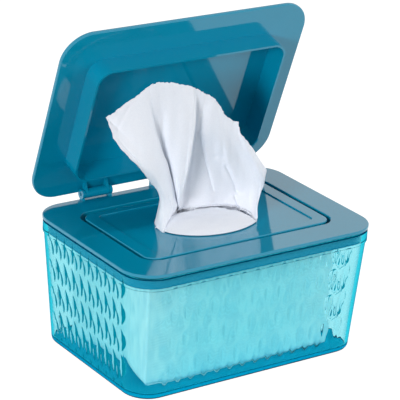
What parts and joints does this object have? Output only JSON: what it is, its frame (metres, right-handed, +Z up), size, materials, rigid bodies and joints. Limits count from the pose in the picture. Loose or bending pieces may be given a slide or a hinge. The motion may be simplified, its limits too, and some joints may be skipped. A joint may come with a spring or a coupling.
{
  "type": "countertop wipes dispenser",
  "caption": "Boxed dispenser for moist wipes: clear faceted container, lift-off cover with an oval opening, and a hinged lid whose collar seals in a groove.",
  "frame": {"origin": "middle of the flat base, on the table", "axes": "+Z up, +X to the right of someone facing the front, +Y to the back, where the hinges are"},
  "size_m": [0.186, 0.1352, 0.2145],
  "materials": {
    "clear_polymer": "clear aqua tinted moulding, polished, with a raised lozenge pattern",
    "teal_moulding": "polished opaque teal moulding",
    "seal_silicone": "dark teal silicone",
    "hinge_steel": "plain steel pin",
    "wipe_fabric": "white spunlace nonwoven, damp"
  },
  "bodies": {
    "box": {"container": "clear_polymer", "wipe_stack": "wipe_fabric", "next_wipe": "wipe_fabric"},
    "cover": {"cover_frame": "teal_moulding", "dispensing_panel": "teal_moulding", "lid_seal": "seal_silicone", "cover_seal": "seal_silicone", "hinge_pin_left": "hinge_steel", "hinge_pin_right": "hinge_steel", "pulled_wipe": "wipe_fabric"},
    "lid": {"lid_shell": "teal_moulding"}
  },
  "joints": [
    {"name": "cover_lift", "type": "slide", "parent": "box", "child": "cover", "axis": [0, 0, 1], "range_m": [0, 0.09]},
    {"name": "lid_hinge", "type": "hinge", "parent": "cover", "child": "lid", "pos_m": [0, 0.0635, 0.0913], "axis": [-1, 0, 0], "range_deg": [-70.5, 0], "deforming": ["pulled_wipe"]}
  ]
}
